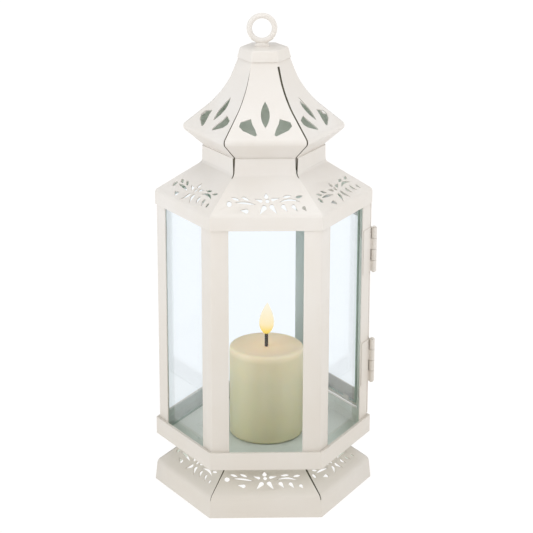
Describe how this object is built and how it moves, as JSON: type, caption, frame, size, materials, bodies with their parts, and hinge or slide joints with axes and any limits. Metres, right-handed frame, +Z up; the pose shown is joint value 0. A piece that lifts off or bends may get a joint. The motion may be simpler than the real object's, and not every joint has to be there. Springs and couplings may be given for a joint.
{
  "type": "candle lantern",
  "caption": "Hexagonal sheet-metal candle lantern with glass sides, pierced canopy and base, hinged door, hanging ring and pillar candle.",
  "frame": {"origin": "middle of the base, on the surface the lantern stands on", "axes": "+Z up through the hanging ring; the front glass faces -Y; the door is on the back right side and its hinges are at +X"},
  "size_m": [0.1148, 0.0988, 0.2494],
  "materials": {
    "cream_paint": "satin cream enamel on steel sheet",
    "hinge_paint": "satin cream enamel on steel",
    "trim_paint": "satin cream enamel on steel",
    "pan_paint": "satin cream enamel on steel sheet",
    "glass": "clear soda-lime sheet, polished",
    "wax": "ivory paraffin wax, satin",
    "wick": "charred braided cotton"
  },
  "bodies": {
    "lantern": {"base_skirt": "cream_paint", "canopy": "cream_paint", "crown_cap": "cream_paint", "floor_pan": "pan_paint", "hanging_ring": "cream_paint", "hinge_leaf_fixed_lower": "hinge_paint", "hinge_leaf_fixed_upper": "hinge_paint", "hinge_pin_lower": "hinge_paint", "hinge_pin_upper": "hinge_paint", "latch_rivet": "trim_paint", "lower_rail": "cream_paint", "pane_back": "glass", "pane_back_left": "glass", "pane_clips": "trim_paint", "pane_front": "glass", "pane_front_left": "glass", "pane_front_right": "glass", "post_back_left": "cream_paint", "post_back_right": "cream_paint", "post_front_left": "cream_paint", "post_front_right": "cream_paint", "post_left": "cream_paint", "post_right": "cream_paint", "shoulder": "cream_paint"},
    "door": {"door_hinge_stile": "cream_paint", "door_latch_stile": "cream_paint", "door_top_rail": "cream_paint", "door_bottom_rail": "cream_paint", "door_pane": "glass", "door_pane_clips": "trim_paint", "hinge_leaf_door_upper": "hinge_paint", "hinge_leaf_door_lower": "hinge_paint"},
    "turn_button": {"latch_button": "trim_paint"},
    "candle": {"candle_wax": "wax", "candle_wick": "wick"}
  },
  "joints": [
    {"name": "door_swing", "type": "hinge", "parent": "lantern", "child": "door", "pos_m": [0.05641, 0, 0.094], "axis": [0, 0, -1], "range_deg": [0, 120]},
    {"name": "turn_button_turn", "type": "hinge", "parent": "lantern", "child": "turn_button", "pos_m": [0.02279, 0.0471, 0.094], "axis": [0, -1, 0], "range_deg": [0, 90]},
    {"name": "candle_lift", "type": "slide", "parent": "lantern", "child": "candle", "axis": [0, 0, 1], "range_m": [0, 0.06]}
  ]
}
